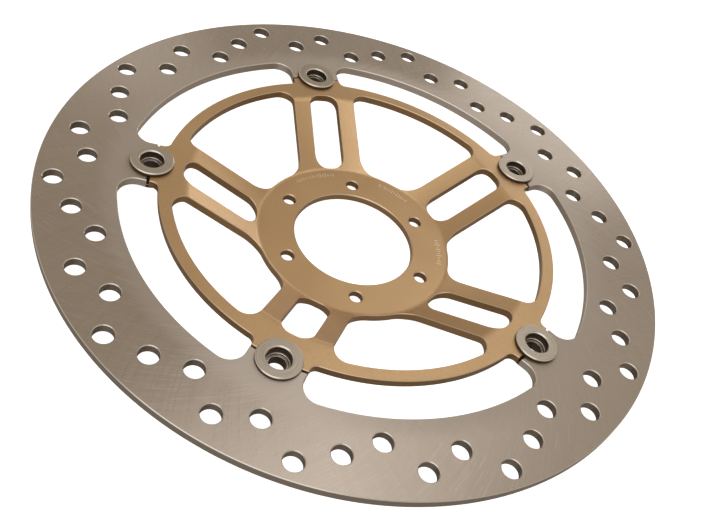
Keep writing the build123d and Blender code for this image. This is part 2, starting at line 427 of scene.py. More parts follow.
# %% Tree for a drilled plate
def drilled_plate_tree():
    """The whole plate: walls along every line, and a flat face filled in above and below."""
    titles = ("Hole Radius", "First Hole", "Inner Row", "Row Step", "Bottom", "Top", "Chamfer")
    inputs = {"Outlines": "Geometry", "Holes": "Int", **dict.fromkeys(titles, "Float"), "Finish": "Material"}
    tree, size, result = new_group("drilled plate", "GeometryNodeTree", inputs, {"Plate": "Geometry"})
    walls = swept_edges(tree, size, drilled_holes(tree, size))

    neighbours = geo(tree, "InputMeshEdgeNeighbors")
    open_edge = node(tree, "FunctionNodeCompare", {0: neighbours, 1: 1.5}, operation="LESS_THAN").outputs[0]
    place = geo(tree, "InputPosition")
    height = split(tree, place)[2]
    middle = calc(tree, "MULTIPLY", calc(tree, "ADD", size["Top"], size["Bottom"]), 0.5)
    parts = []
    for level, kind in ((size["Top"], "GREATER_THAN"), (size["Bottom"], "LESS_THAN")):
        this_side = node(tree, "FunctionNodeCompare", {0: height, 1: middle}, operation=kind).outputs[0]
        both = node(tree, "FunctionNodeBooleanMath", {0: open_edge, 1: this_side}).outputs[0]
        loops = geo(tree, "MeshToCurve", {"Mesh": walls, "Selection": both})
        face = geo(tree, "FillCurve", {"Curve": loops})
        lift = vector(tree, 0.0, 0.0, level)
        face = geo(tree, "Transform", {"Geometry": face, "Translation": lift})
        if kind == "LESS_THAN":
            face = geo(tree, "FlipFaces", {"Mesh": face})
        parts.append(face)
    whole = joined_parts(tree, parts + [walls])
    closed = geo(tree, "MergeByDistance", {"Geometry": whole, "Distance": WELD})
    finish_mesh(tree, closed, size["Finish"], result)
    return tree


plate_tree = drilled_plate_tree()
print("drilled plate tree with", len(plate_tree.nodes), "nodes")

# %% [markdown]
# ## Finishes
# Five finishes meet here: a ring ground flat, a carrier anodised gold-brown, plated bobbins, zinc-plated
# rivets and washers, and dark spring washers. They scatter light in the same few ways, so the fine grain, the
# streaks, the turning marks and the cut edges are node groups, which each metal uses with its own numbers.

# %% Node group: fine grain
def fine_grain():
    """Specks and a slow change of tone. The place is in metres."""
    sockets = {"Place": "Vector", "Speck Size": "Float", "Patch Size": "Float"}
    outputs = {"Speck": "Float", "Patch": "Float"}
    tree, given, result = new_group("fine grain", "ShaderNodeTree", sockets, outputs)
    for title, detail in (("Speck", 3.0), ("Patch", 2.0)):
        scale = calc(tree, "DIVIDE", 1.0, given[title + " Size"])
        values = {"Vector": given["Place"], "Scale": scale, "Detail": detail}
        noise = node(tree, "ShaderNodeTexNoise", values)
        tree.links.new(noise.outputs[0], result.inputs[title])
    return tree


# %% Node group: grinding streaks
def length_of(tree, u, v):
    """The length of a flat vector."""
    return calc(tree, "SQRT", calc(tree, "ADD", calc(tree, "MULTIPLY", u, u), calc(tree, "MULTIPLY", v, v)))


def grinding_streaks():
    """Long fine scratches that sweep out across the ring in shallow curves."""
    sockets = {"Place": "Vector", "Around": "Float", "Along": "Float", "Sweep": "Float"}
    tree, given, result = new_group("grinding streaks", "ShaderNodeTree", sockets, {"Streak": "Float"})
    x, y, _ = split(tree, given["Place"])
    reach = length_of(tree, x, y)
    angle = calc(tree, "MULTIPLY_ADD", reach, given["Sweep"], calc(tree, "ARCTAN2", y, x))
    sides = [calc(tree, "MULTIPLY", calc(tree, turn, angle), given["Around"]) for turn in ("COSINE", "SINE")]
    ring = vector(tree, *sides, calc(tree, "MULTIPLY", reach, given["Along"]))
    values = {"Vector": ring, "Scale": 1.0, "Detail": 4.0, "Roughness": 0.65}
    noise = node(tree, "ShaderNodeTexNoise", values)
    tree.links.new(noise.outputs[0], result.inputs[0])
    return tree


# %% Node group: turning marks about the nearest bobbin
def turning_marks():
    """Fine lathe rings. The place is folded into one fifth of the disc, so they fit every bobbin."""
    sockets = {"Place": "Vector", "Pitch": "Float"}
    tree, given, result = new_group("turning marks", "ShaderNodeTree", sockets, {"Ring": "Float"})
    x, y, z = split(tree, given["Place"])
    reach = length_of(tree, x, y)
    angle = calc(tree, "SUBTRACT", calc(tree, "ARCTAN2", y, x), FIRST)
    fold = calc(tree, "MULTIPLY", calc(tree, "ROUND", calc(tree, "DIVIDE", angle, PITCH)), PITCH)
    own = calc(tree, "SUBTRACT", angle, fold)
    u = calc(tree, "SUBTRACT", calc(tree, "MULTIPLY", reach, calc(tree, "COSINE", own)), BOBBIN_CIRCLE)
    v = calc(tree, "MULTIPLY", reach, calc(tree, "SINE", own))
    step = calc(tree, "DIVIDE", calc(tree, "ADD", length_of(tree, u, v), z), given["Pitch"])
    wander = calc(tree, "MULTIPLY", calc(tree, "ARCTAN2", v, u), 0.4)
    line = vector(tree, step, wander)
    noise = node(tree, "ShaderNodeTexNoise", {"Vector": line, "Scale": 1.0, "Detail": 3.0})
    tree.links.new(noise.outputs[0], result.inputs[0])
    return tree


# %% Node group: cut edges
def cut_edges():
    """Colour and roughness where a face was cut: a painted highlight on a chamfer and painted shade on an
    upright wall.
    """
    looks = {"Colour": "Color", "Roughness": "Float"}
    sockets = {kind + title: looks[title] for title in looks for kind in ("", "Edge ", "Wall ")}
    sockets["Cut"] = "Float"
    tree, given, result = new_group("cut edges", "ShaderNodeTree", sockets, looks)
    cut = given["Cut"]
    is_wall = calc(tree, "GREATER_THAN", cut, 0.75)
    is_edge = calc(tree, "SUBTRACT", calc(tree, "GREATER_THAN", cut, 0.25), is_wall)
    colour, rough = given["Colour"], given["Roughness"]
    for mask, kind in ((is_edge, "Edge"), (is_wall, "Wall")):
        colours = {0: mask, 6: colour, 7: given[kind + " Colour"]}
        colour = node(tree, "ShaderNodeMix", colours, data_type="RGBA").outputs[2]
        roughs = {0: mask, 2: rough, 3: given[kind + " Roughness"]}
        rough = node(tree, "ShaderNodeMix", roughs).outputs[0]
    tree.links.new(colour, result.inputs[0])
    tree.links.new(rough, result.inputs[1])
    return tree


groups = {make.__name__: make() for make in (fine_grain, grinding_streaks, turning_marks, cut_edges)}
print("node groups:", sorted(groups))

# %% What every metal has in common
def metal(name):
    """A material with its shader, the object's own coordinates and the cut attribute. Returns them."""
    material = bpy.data.materials.new(name)
    material.use_nodes = True
    tree = material.node_tree
    shader = tree.nodes["Principled BSDF"]
    shader.inputs["Metallic"].default_value = 1.0
    place = node(tree, "ShaderNodeTexCoord").outputs["Object"]
    cut = node(tree, "ShaderNodeAttribute", attribute_name="cut").outputs["Fac"]
    return material, tree, shader, place, cut


def placed(tree, group, inputs):
    """One of the shared node groups, with its own numbers."""
    return node(tree, "ShaderNodeGroup", inputs, node_tree=groups[group]).outputs


def between(tree, factor, low, high, from_low=0.3, from_high=0.7):
    """A noise value stretched to run from one number to another."""
    values = {0: factor, 1: from_low, 2: from_high, 3: low, 4: high}
    return node(tree, "ShaderNodeMapRange", values).outputs[0]


def shade(colour):
    """A colour as a socket wants it. One that comes from another node is left as it is."""
    return colour if isinstance(colour, bpy.types.NodeSocket) else (*colour, 1)


def mixed(tree, factor, first, second):
    """Two colours mixed by a factor."""
    colours = {0: factor, 6: shade(first), 7: shade(second)}
    return node(tree, "ShaderNodeMix", colours, data_type="RGBA").outputs[2]


def bumped(tree, shader, height, depth):
    """Fine relief of that depth in metres."""
    bump = node(tree, "ShaderNodeBump", {"Height": height, "Distance": depth, "Strength": 1.0})
    tree.links.new(bump.outputs[0], shader.inputs["Normal"])


def finished(tree, shader, colour, rough, cut, edge, wall, edge_rough, wall_rough):
    """The last step of a metal: a painted highlight on its chamfers and painted shade on its walls, each with
    its own roughness, wired to the shader.
    """
    cut_look = placed(tree, "cut_edges", {
        "Colour": colour, "Edge Colour": shade(edge), "Wall Colour": shade(wall), "Roughness": rough,
        "Edge Roughness": edge_rough, "Wall Roughness": wall_rough, "Cut": cut})
    tree.links.new(cut_look["Colour"], shader.inputs["Base Color"])
    tree.links.new(cut_look["Roughness"], shader.inputs["Roughness"])


# %% [markdown]
# ### Ground steel
# The ring is bare stainless steel, ground flat on both sides. The wheel leaves long fine streaks from the inner
# edge to the rim, handling leaves shorter scratches across them, and the steel keeps small dark pits and slow
# patches of warmer and cooler grey. The streaks change the roughness more than the colour, which is what makes
# them show in gloss. The shine is stretched, because the pads polish the ring round and round.

# %% Ground steel
STEEL_SPECK, STEEL_PATCH = 0.9 * MM, 60 * MM
STEEL_WARM, STEEL_COOL = (0.455, 0.37, 0.297), (0.50, 0.41, 0.333)
STEEL_STREAK, STEEL_HAIR, STEEL_PIT = (0.56, 0.47, 0.385), (0.34, 0.27, 0.205), (0.26, 0.20, 0.15)
STEEL_SCRATCH, STEEL_UNSWEPT = (0.66, 0.57, 0.48), (0.58, 0.49, 0.41)
# On the line below, the pale edge colour is a painted highlight for the chamfers, the paler wall colour is
# painted light on the window walls, and the darker wall colour is painted shade in the drilled holes.
STEEL_EDGE_HIGHLIGHT, WINDOW_WALL_PAINTED_LIGHT, HOLE_WALL_PAINTED_SHADE = (0.90, 0.83, 0.74), (0.66, 0.58, 0.50), (0.34, 0.28, 0.23)


def scratches(tree, place, around, along, sweep):
    """Streaks: how many lie round the ring, how often one breaks off, and how far it leans."""
    return placed(tree, "grinding_streaks", {
        "Place": place, "Around": around, "Along": along, "Sweep": sweep})["Streak"]


def distance_from_axis(tree, place):
    """How far a point lies from the ring's axis."""
    flat = node(tree, "ShaderNodeVectorMath", {0: place, 1: (1, 1, 0)}, operation="MULTIPLY").outputs[0]
    return node(tree, "ShaderNodeVectorMath", {0: flat}, operation="LENGTH").outputs["Value"]


def ground_steel():
    """Stretched gloss, streaks, scratches and pits, duller where the pads never reach."""
    material, tree, shader, place, cut = metal("ground steel")
    shader.inputs["Anisotropic"].default_value = 0.7
    shader.inputs["Anisotropic Rotation"].default_value = 0.25
    grain = placed(tree, "fine_grain", {"Place": place, "Speck Size": STEEL_SPECK, "Patch Size": STEEL_PATCH})
    streak = scratches(tree, place, 150.0, 18.0, -3.5)
    hair = scratches(tree, place, 420.0, 40.0, 1.5)
    cross = scratches(tree, place, 210.0, 70.0, 8.0)
    colour = mixed(tree, between(tree, grain["Patch"], 0, 1), STEEL_WARM, STEEL_COOL)
    colour = mixed(tree, between(tree, streak, 0, 0.3), colour, STEEL_STREAK)
    colour = mixed(tree, between(tree, hair, 0.2, 0), colour, STEEL_HAIR)
    # Scratches from handling cross the streaks, in some places more than in others.
    often = between(tree, grain["Patch"], 0.7, 0.1)
    handled = calc(tree, "MULTIPLY", between(tree, cross, 0, 1, 0.54, 0.66), often)
    colour = mixed(tree, handled, colour, STEEL_SCRATCH)
    colour = mixed(tree, between(tree, grain["Speck"], 0, 0.13, 0.63, 0.75), colour, STEEL_PIT)
    rough = calc(tree, "ADD", between(tree, streak, 0.27, 0.34), between(tree, hair, -0.02, 0.04))
    rough = calc(tree, "MULTIPLY_ADD", handled, -0.05, rough)
    # The pads never reach the band's inner edge, so it stays duller, and its border follows the scratches.
    radius = distance_from_axis(tree, place)
    ragged = calc(tree, "MULTIPLY_ADD", cross, -30 * MM, radius)
    unswept = between(tree, ragged, 1, 0, BAND_INNER - 12 * MM, BAND_INNER - 5 * MM)
    rough = calc(tree, "MULTIPLY_ADD", unswept, 0.15, rough)
    colour = mixed(tree, calc(tree, "MULTIPLY", unswept, 0.45), colour, STEEL_UNSWEPT)
    bumped(tree, shader, calc(tree, "MULTIPLY_ADD", hair, 0.6, grain["Speck"]), 0.004 * MM)
    # The window walls are painted paler, a painted light, and the walls of the holes beyond them are painted
    # darker, a painted shade inside the narrow drilled holes.
    drilled = between(tree, radius, 0, 1, BAND_INNER + 0.2 * MM, BAND_INNER + 0.6 * MM)
    wall = mixed(tree, drilled, WINDOW_WALL_PAINTED_LIGHT, HOLE_WALL_PAINTED_SHADE)
    # The ring's chamfers get a painted highlight.
    finished(tree, shader, colour, rough, cut, STEEL_EDGE_HIGHLIGHT, wall, 0.28, 0.45)
    return material


# %% [markdown]
# ### Gold-brown anodised aluminium
# The carrier is cut from aluminium plate and anodised. The oxide layer is thin and clear, so the colour stays
# metallic: the base colour is the gold, the metal is blasted first and so has a soft sheen, and the cut edges
# are a little paler where the layer is thinner, with a painted highlight on top of that. The upright cut walls
# are painted darker, a painted shade.

# %% Anodised aluminium
GOLD_SPECK, GOLD_PATCH = 0.6 * MM, 35 * MM
GOLD_DEEP, GOLD_PALE, GOLD_GRAIN = (0.575, 0.355, 0.17), (0.64, 0.405, 0.20), (0.48, 0.29, 0.13)
# The edge colour is partly the thinner oxide and partly a painted highlight; the wall colour is painted shade.
GOLD_EDGE_PALE_AND_HIGHLIGHT, GOLD_WALL_SHADE = (0.86, 0.64, 0.44), (0.38, 0.22, 0.095)


def anodised_gold():
    """A blasted gold metal under a thin clear layer."""
    material, tree, shader, place, cut = metal("anodised gold")
    grain = placed(tree, "fine_grain", {"Place": place, "Speck Size": GOLD_SPECK, "Patch Size": GOLD_PATCH})
    colour = mixed(tree, between(tree, grain["Patch"], 0, 1), GOLD_DEEP, GOLD_PALE)
    colour = mixed(tree, between(tree, grain["Speck"], 0, 0.3), colour, GOLD_GRAIN)
    rough = between(tree, grain["Speck"], 0.34, 0.46)
    # The oxide layer is clear, and it mirrors a little of the white room above the gold.
    shader.inputs["Coat Weight"].default_value = 0.4
    shader.inputs["Coat Roughness"].default_value = 0.3
    shader.inputs["Coat IOR"].default_value = 1.6
    bumped(tree, shader, grain["Speck"], 0.012 * MM)
    finished(tree, shader, colour, rough, cut, GOLD_EDGE_PALE_AND_HIGHLIGHT, GOLD_WALL_SHADE, 0.3, 0.45)
    return material


# %% [markdown]
# ### Turned and plated steel
# Bobbins, rivets and washers are turned on a lathe and plated. What tells a turned face from a cast one is its
# rings: very fine, never quite even, and always about the piece's own axis.

# %% Plated and spring steels
LATHE_SPECK, LATHE_PATCH, LATHE_PITCH = 0.5 * MM, 6 * MM, 0.35 * MM
# A painted highlight for the chamfers and rounds of turned pieces.
EDGE_HIGHLIGHT = (0.95, 0.88, 0.79)


def turned_metal(name, dark, light, edge, wall, rough):
    """Steel off the lathe: its rings run between a dark and a light tone, and between two roughnesses."""
    material, tree, shader, place, cut = metal(name)
    grain = placed(tree, "fine_grain", {"Place": place, "Speck Size": LATHE_SPECK, "Patch Size": LATHE_PATCH})
    ring = placed(tree, "turning_marks", {"Place": place, "Pitch": LATHE_PITCH})["Ring"]
    colour = mixed(tree, between(tree, ring, 0, 1), dark, light)
    colour = mixed(tree, between(tree, grain["Patch"], 0, 0.3), colour, dark)
    bumped(tree, shader, calc(tree, "MULTIPLY_ADD", grain["Speck"], 0.3, ring), 0.008 * MM)
    smoothest, roughest = rough
    ring_rough = between(tree, ring, smoothest, roughest)
    # The edge colour is a painted highlight on the chamfers and rounds, and the wall colour is painted shade on
    # the upright faces of bores, steps and rims.
    finished(tree, shader, colour, ring_rough, cut, edge, wall, smoothest, roughest + 0.1)
    return material


# Each wall colour below is painted shade on upright faces, darkest in the bores, and the edge colours are
# painted highlights.
finishes = {
    "ground_steel": ground_steel(),
    "gold_anodised": anodised_gold(),
    "plated_steel": turned_metal(
        "plated steel", dark=(0.45, 0.375, 0.295), light=(0.56, 0.475, 0.385), edge=EDGE_HIGHLIGHT,
        wall=(0.16, 0.12, 0.09), rough=(0.26, 0.4)),
    "zinc_plated": turned_metal(
        "zinc plate", dark=(0.50, 0.43, 0.35), light=(0.62, 0.54, 0.45), edge=EDGE_HIGHLIGHT,
        wall=(0.17, 0.13, 0.10), rough=(0.26, 0.4)),
    "spring_steel": turned_metal(
        "spring steel", dark=(0.13, 0.12, 0.11), light=(0.20, 0.19, 0.17), edge=(0.26, 0.25, 0.23),
        wall=(0.12, 0.11, 0.10), rough=(0.34, 0.5)),
}
print("finishes:", sorted(finishes))

# %% The ring itself
rim = joined(arc((0, 0), DISC_RADIUS, 0, 2 * pi, RIM_STEP))
disc_drawing = drawn_loops("disc outlines", (rim, as_hole(disc_inner_outline)), "3D")
friction_ring = to_mesh_object(disc_drawing, plate_tree, {
    "Holes": DRILLED_HOLES, "Hole Radius": DRILL_RADIUS, "First Hole": FIRST_HOLE, "Inner Row": INNER_ROW,
    "Row Step": ROW_STEP, "Bottom": DISC_BOTTOM, "Top": DISC_TOP, "Chamfer": DISC_EDGE,
    "Finish": finishes["ground_steel"]}, "friction_ring")
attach(friction_ring, "disc")
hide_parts("brake_disc")

# %% [markdown]
# ## The carrier
# The carrier is plate too, but pressed into a dish, with a lug for each bobbin. Its outline alone can't be
# swept, because the plate climbs between two bends. So the outline is filled in plan, with extra circles where
# the bends run, and each point is then lifted to the height that the bent plate has at that distance from the
# axis. The plan is the same above and below, so walls and chamfers join the two without a gap.

# %% The bent plate's section
BEND_STEPS = 8                 # flat steps that stand for one bend


def bent_plate(low, first_bend, second_bend, first_radius, second_radius, rise):
    """A function that gives the plate's height and slope at a distance, and the plate's bend circles."""
    climb = atan2(rise, second_bend - first_bend)
    reach_1, reach_2 = first_radius * tan(climb / 2), second_radius * tan(climb / 2)
    starts = (first_bend - reach_1, second_bend - reach_2 * cos(climb))
    ends = (first_bend + reach_1 * cos(climb), second_bend + reach_2)

    def at(radius):
        if radius <= starts[0]:
            return low, 0.0
        if radius < ends[0]:
            along = radius - starts[0]
            fall = sqrt(first_radius ** 2 - along ** 2)
            return low + first_radius - fall, along / fall
        if radius <= starts[1]:
            return low + (radius - first_bend) * tan(climb), tan(climb)
        if radius < ends[1]:
            along = ends[1] - radius
            fall = sqrt(second_radius ** 2 - along ** 2)
            return low + rise - second_radius + fall, along / fall
        return low + rise, 0.0

    shares = [i / BEND_STEPS for i in range(BEND_STEPS + 1)]
    circles = [start + (end - start) * share for start, end in zip(starts, ends) for share in shares]
    return at, circles


DISH = RIM_TOP - CARRIER_THICKNESS
CLIMB = atan2(DISH, RIM_BEND - HUB_BEND)
SHIFT = CARRIER_THICKNESS * tan(CLIMB / 2)
OUTSIDE = BEND_RADIUS + CARRIER_THICKNESS
top_at, top_circles = bent_plate(CARRIER_THICKNESS, HUB_BEND, RIM_BEND, BEND_RADIUS, OUTSIDE, DISH)
bottom_at, bottom_circles = bent_plate(0.0, HUB_BEND + SHIFT, RIM_BEND + SHIFT, OUTSIDE, BEND_RADIUS, DISH)
print("the spokes climb at", round(degrees(CLIMB), 1), "degrees")

# %% Fill the carrier's plan
CIRCLE_STEP = radians(1.5)     # between two points of a circle drawn across the plan
SHORTEST_MITRE = 0.4           # stops a sharp corner from moving too far
PLAN_GRAIN = 1e-7              # points of the plan nearer than this, in metres, become one
SLOPE_SHARES = (0.2, 0.35, 0.5, 0.65, 0.8)


def edge_size(point):
    """Chamfer at a point of the plan: the machined bore and bolt holes have more than the rest."""
    return HUB_EDGE if hypot(*point) < BOLT_CIRCLE + 2 * BOLT_HOLE else CARRIER_EDGE


def offset(loop, sign):
    """Move each point of a closed loop to its left (1) or right (-1) by its chamfer."""
    moved = []
    for before, here, after in zip(loop[-1:] + loop[:-1], loop, loop[1:] + loop[:1]):
        first = Vector((here[0] - before[0], here[1] - before[1])).normalized()
        second = Vector((after[0] - here[0], after[1] - here[1])).normalized()
        middle = (first + second).normalized()
        mitre = max(SHORTEST_MITRE, middle.dot(second))
        left = Vector((-middle.y, middle.x)) * sign * edge_size(here) / mitre
        moved.append((here[0] + left.x, here[1] + left.y))
    return moved


def inside(points, loops):
    """Which points lie in the metal: those that a line to the right crosses an odd number of edges from."""
    odd = np.zeros(len(points), bool)
    x, y = points[:, 0], points[:, 1]
    for loop in loops:
        for (ax, ay), (bx, by) in zip(loop, loop[1:] + loop[:1]):
            if ay != by:
                odd ^= ((ay > y) != (by > y)) & (x < (bx - ax) * (y - ay) / (by - ay) + ax)
    return odd


def filled_plan(loops, circles):
    """Triangles that fill the metal between the loops, with edges along the circles."""
    circle_loops = [arc((0, 0), radius, 0, 2 * pi, CIRCLE_STEP)[:-1] for radius in sorted(circles)]
    points, edges = [], []
    for loop in loops + circle_loops:
        first = len(points)
        points += [Vector(point) for point in loop]
        edges += [(first + i, first + (i + 1) % len(loop)) for i in range(len(loop))]
    plan, _, faces, *_ = delaunay_2d_cdt(points, edges, [], 0, PLAN_GRAIN)
    corners = np.array([tuple(p) for p in plan])
    faces = np.array([face for face in faces if len(face) == 3])
    faces = faces[inside(corners[faces].mean(axis=1), loops)]
    used = np.unique(faces)
    fresh = np.full(len(corners), -1)
    fresh[used] = np.arange(len(used))
    return [tuple(p) for p in corners[used]], [tuple(face) for face in fresh[faces]]


slope_circles = [HUB_BEND + (RIM_BEND - HUB_BEND) * share for share in SLOPE_SHARES]
flat_loops = [offset(loop, 1) for loop in [carrier_outline] + carrier_holes]
plan, plan_faces = filled_plan(flat_loops, top_circles + bottom_circles + slope_circles)
print("plan of the carrier:", len(plan), "points,", len(plan_faces), "triangles")

# %% Find the plan's edges
NEARLY_STRAIGHT = 0.9          # cosine, above which two sides of an edge loop shade as one curve


def edge_loops(faces):
    """The closed loops of edges that only one face uses, with the metal on their left."""
    directed = {(face[i], face[(i + 1) % 3]) for face in faces for i in range(3)}
    onward = {a: b for a, b in directed if (b, a) not in directed}
    loops = []
    while onward:
        here, loop = next(iter(onward)), []
        while here in onward:
            loop.append(here)
            here = onward.pop(here)
        loops.append(loop)
    return loops


def surface_normal(point, at, up):
    """The normal of a bent face at a point of the plan."""
    radius = hypot(*point)
    slope = at(radius)[1]
    return (Vector((-slope * point[0] / radius, -slope * point[1] / radius, 1)) * up).normalized()


def side_normals(loop):
    """For each side of a loop, the outward normals at its start and at its end."""
    outward = []
    for here, after in zip(loop, loop[1:] + loop[:1]):
        run = Vector(after) - Vector(here)
        outward.append(Vector((run.y, -run.x, 0)).normalized())
    ends = []
    for before, own, after in zip(outward[-1:] + outward[:-1], outward, outward[1:] + outward[:1]):
        ends.append([(own + other).normalized() if own.dot(other) > NEARLY_STRAIGHT else own
                     for other in (before, after)])
    return ends


# %% Lift the plan and close its edges
def lifted_plate(name, plan, faces, top_at, bottom_at, material):
    """A closed plate with chamfered edges. Every corner is given its true normal, so the bends shade evenly."""
    points, polygons, normals, cuts = [], [], [], []

    def add(corners, corner_normals, cut):
        polygons.append(corners)
        normals.extend(corner_normals)
        cuts.append(cut)

    count = len(plan)
    for at in (top_at, bottom_at):
        points += [(x, y, at(hypot(x, y))[0]) for x, y in plan]
    top_normals = [surface_normal(p, top_at, 1) for p in plan]
    bottom_normals = [surface_normal(p, bottom_at, -1) for p in plan]
    for face in faces:
        back = face[::-1]
        add(tuple(face), [top_normals[k] for k in face], 0.0)
        add(tuple(k + count for k in back), [bottom_normals[k] for k in back], 0.0)
    for loop in edge_loops(faces):
        outer = offset([plan[i] for i in loop], -1)
        first = len(points)
        for x, y in outer:
            size = edge_size((x, y))
            points.append((x, y, top_at(hypot(x, y))[0] - size))
            points.append((x, y, bottom_at(hypot(x, y))[0] + size))
        for i, (start, end) in enumerate(side_normals(outer)):
            j = (i + 1) % len(loop)
            here, after = loop[i], loop[j]
            high_i, high_j = first + 2 * i, first + 2 * j
            from_here = (start + top_normals[here]).normalized()
            to_after = (end + top_normals[after]).normalized()
            add((after, here, high_i, high_j), (to_after, from_here, from_here, to_after), 0.5)
            add((high_j, high_i, high_i + 1, high_j + 1), (end, start, start, end), 1.0)
            from_here = (start + bottom_normals[here]).normalized()
            to_after = (end + bottom_normals[after]).normalized()
            add((high_j + 1, high_i + 1, here + count, after + count),
                (to_after, from_here, from_here, to_after), 0.5)
    mesh = bpy.data.meshes.new(name)
    mesh.from_pydata(points, [], polygons)
    mesh.polygons.foreach_set("use_smooth", [True] * len(polygons))
    mesh.attributes.new("cut", "FLOAT", "FACE").data.foreach_set("value", cuts)
    mesh.normals_split_custom_set(normals)
    mesh.materials.append(material)
    print(name, "has", len(polygons), "faces")
    return added(name, mesh)


dished_carrier = lifted_plate("dished_carrier", plan, plan_faces, top_at, bottom_at, finishes["gold_anodised"])
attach(dished_carrier, "carrier")
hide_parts("carrier")

# %% [markdown]
# ## Bobbins and what holds them
# Each bobbin, rivet and washer is a ring turned on a lathe. In Blender a turned ring is a half section, drawn
# once as a closed line of radius and height, and swept round a circle. One tree makes them all, and moves each
# ring to its bobbin. The wave washer is the same sweep with a height that rises and falls three times.

# %% Tree for a turned ring
PATH_RADIUS = 1.0 * MM         # of the circle a section follows, which is taken off its own radii
RING_SEGMENTS = 96


def turned_ring_tree():
    """A section swept round a circle, waved if asked, and moved to its bobbin."""
    inputs = {"Section": "Geometry", "Segments": "Int", "Wave Height": "Float", "Crests": "Int",
              "Centre": "Vector", "Finish": "Material"}
    tree, size, result = new_group("turned ring", "GeometryNodeTree", inputs, {"Ring": "Geometry"})
    path = geo(tree, "CurvePrimitiveCircle", {"Resolution": size["Segments"], "Radius": PATH_RADIUS})
    swept = geo(tree, "CurveToMesh", {"Curve": path, "Profile Curve": size["Section"]})
    place = geo(tree, "InputPosition")
    x, y, _ = split(tree, place)
    turn = calc(tree, "MULTIPLY", calc(tree, "ARCTAN2", y, x), size["Crests"])
    rise = calc(tree, "MULTIPLY", calc(tree, "COSINE", turn), size["Wave Height"])
    lift = vector(tree, 0.0, 0.0, rise)
    waved = geo(tree, "SetPosition", {"Geometry": swept, "Offset": lift})
    ring = geo(tree, "Transform", {"Geometry": waved, "Translation": size["Centre"]})
    finish_mesh(tree, ring, size["Finish"], result)
    return tree


ring_tree = turned_ring_tree()


def turned_ring(name, section, place, finish, waves):
    """Sweep a section of (radius, height) points in millimetres round one bobbin's axis."""
    # Drawn the other way round, so that the swept faces point out of the metal.
    drawn = [(r * MM - PATH_RADIUS, -z * MM) for r, z in reversed(section)]
    return to_mesh_object(drawn_loops("section", [drawn], "2D"), ring_tree, {
        "Segments": RING_SEGMENTS, "Wave Height": waves[0], "Crests": waves[1],
        "Centre": (place.x, place.y, 0), "Finish": finishes[finish]}, name)


# %% Sections of the four rings
HOLD = 1.7                     # how many rounds away the point lies that keeps the flat beside a round flat
SIDE_SHARE = 0.24              # the most of a side that one round may take
ROUND_STEPS = 3


def softened(section, size):
    """The section with each corner turned into a small round of that size."""
    made = []
    for before, here, after in zip(section[-1:] + section[:-1], section, section[1:] + section[:1]):
        here_v = Vector(here)
        back, on = Vector(before) - here_v, Vector(after) - here_v
        reach = min(size, back.length * SIDE_SHARE, on.length * SIDE_SHARE)
        start, end = here_v + back.normalized() * reach, here_v + on.normalized() * reach
        # Without a point just before and just after the round, the flat beside it would shade as if curved.
        made.append(tuple(here_v + back.normalized() * reach * HOLD))
        for i in range(ROUND_STEPS + 1):
            t = i / ROUND_STEPS
            made.append(tuple(start * (1 - t) ** 2 + here_v * 2 * t * (1 - t) + end * t ** 2))
        made.append(tuple(here_v + on.normalized() * reach * HOLD))
    return made


bobbin_section = softened([
    (5.6, 16.39), (8.0, 16.39), (8.0, 23.35), (10.4, 23.35), (10.4, 24.5), (9.95, 24.95),
    (6.15, 24.95), (5.6, 24.4)], 0.12)
rivet_section = softened([
    (3.9, 15.19), (9.8, 15.19), (9.8, 16.39), (5.6, 16.39), (5.6, 21.35), (4.9, 21.35),
    (4.7, 21.15), (4.7, 20.15), (3.9, 20.15)], 0.16)
flat_washer_section = softened([(8.2, 17.55), (10.9, 17.55), (10.9, 18.35), (8.2, 18.35)], 0.12)
wave_washer_section = softened([(8.2, 16.72), (10.9, 16.72), (10.9, 17.22), (8.2, 17.22)], 0.1)
print("sections of", [len(s) for s in (bobbin_section, rivet_section, flat_washer_section, wave_washer_section)])

# %% Make the rings at every bobbin
EVEN, WAVED = (0.0, 0), (0.3 * MM, 3)    # height of the wave and its number of crests

for number, (place, body) in enumerate(zip(bobbin_places, bobbin_bodies), start=1):
    rings = (
        ("bobbin", bobbin_section, "plated_steel", EVEN),
        ("retaining_rivet", rivet_section, "zinc_plated", EVEN),
        ("flat_washer", flat_washer_section, "zinc_plated", EVEN),
        ("wave_washer", wave_washer_section, "spring_steel", WAVED),
    )
    for kind, section, finish, waves in rings:
        ring = turned_ring(f"turned_{kind}_{number}", section, place, finish, waves)
        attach(ring, body)
        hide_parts(f"{kind}_{number}")

# %% [markdown]
# ## Stamped ticks on the hub
# A real carrier is stamped with its size and its least thickness. Here three rows of plain ticks stand in for
# that lettering. Each row is points on an arc, a bar is set on every point and turned to face the axis, and a
# seeded random choice makes some bars short, as figures and gaps do in real stamping.

# %% Tree for the ticks
SHORTEST_TICK = 0.25           # share of a full tick


def ticks_tree():
    """A bar at every point, turned to face the axis, and some of them short."""
    inputs = {"Places": "Geometry", "Width": "Float", "Length": "Float", "Depth": "Float",
              "Seed": "Int", "Finish": "Material"}
    tree, size, result = new_group("stamped ticks", "GeometryNodeTree", inputs, {"Ticks": "Geometry"})
    bar_size = vector(tree, size["Length"], size["Width"], size["Depth"])
    bar = geo(tree, "MeshCube", {"Size": bar_size})
    place = geo(tree, "InputPosition")
    x, y, _ = split(tree, place)
    turn = vector(tree, 0.0, 0.0, calc(tree, "ARCTAN2", y, x))
    chance = node(tree, "FunctionNodeRandomValue", {"Seed": size["Seed"]}, data_type="FLOAT")
    chance.inputs[2].default_value, chance.inputs[3].default_value = SHORTEST_TICK, 1.0
    stretch = vector(tree, chance.outputs[1], 1.0, 1.0)
    bars = geo(tree, "InstanceOnPoints", {
        "Points": size["Places"], "Instance": bar, "Rotation": turn, "Scale": stretch})
    finish_mesh(tree, bars, size["Finish"], result)
    return tree


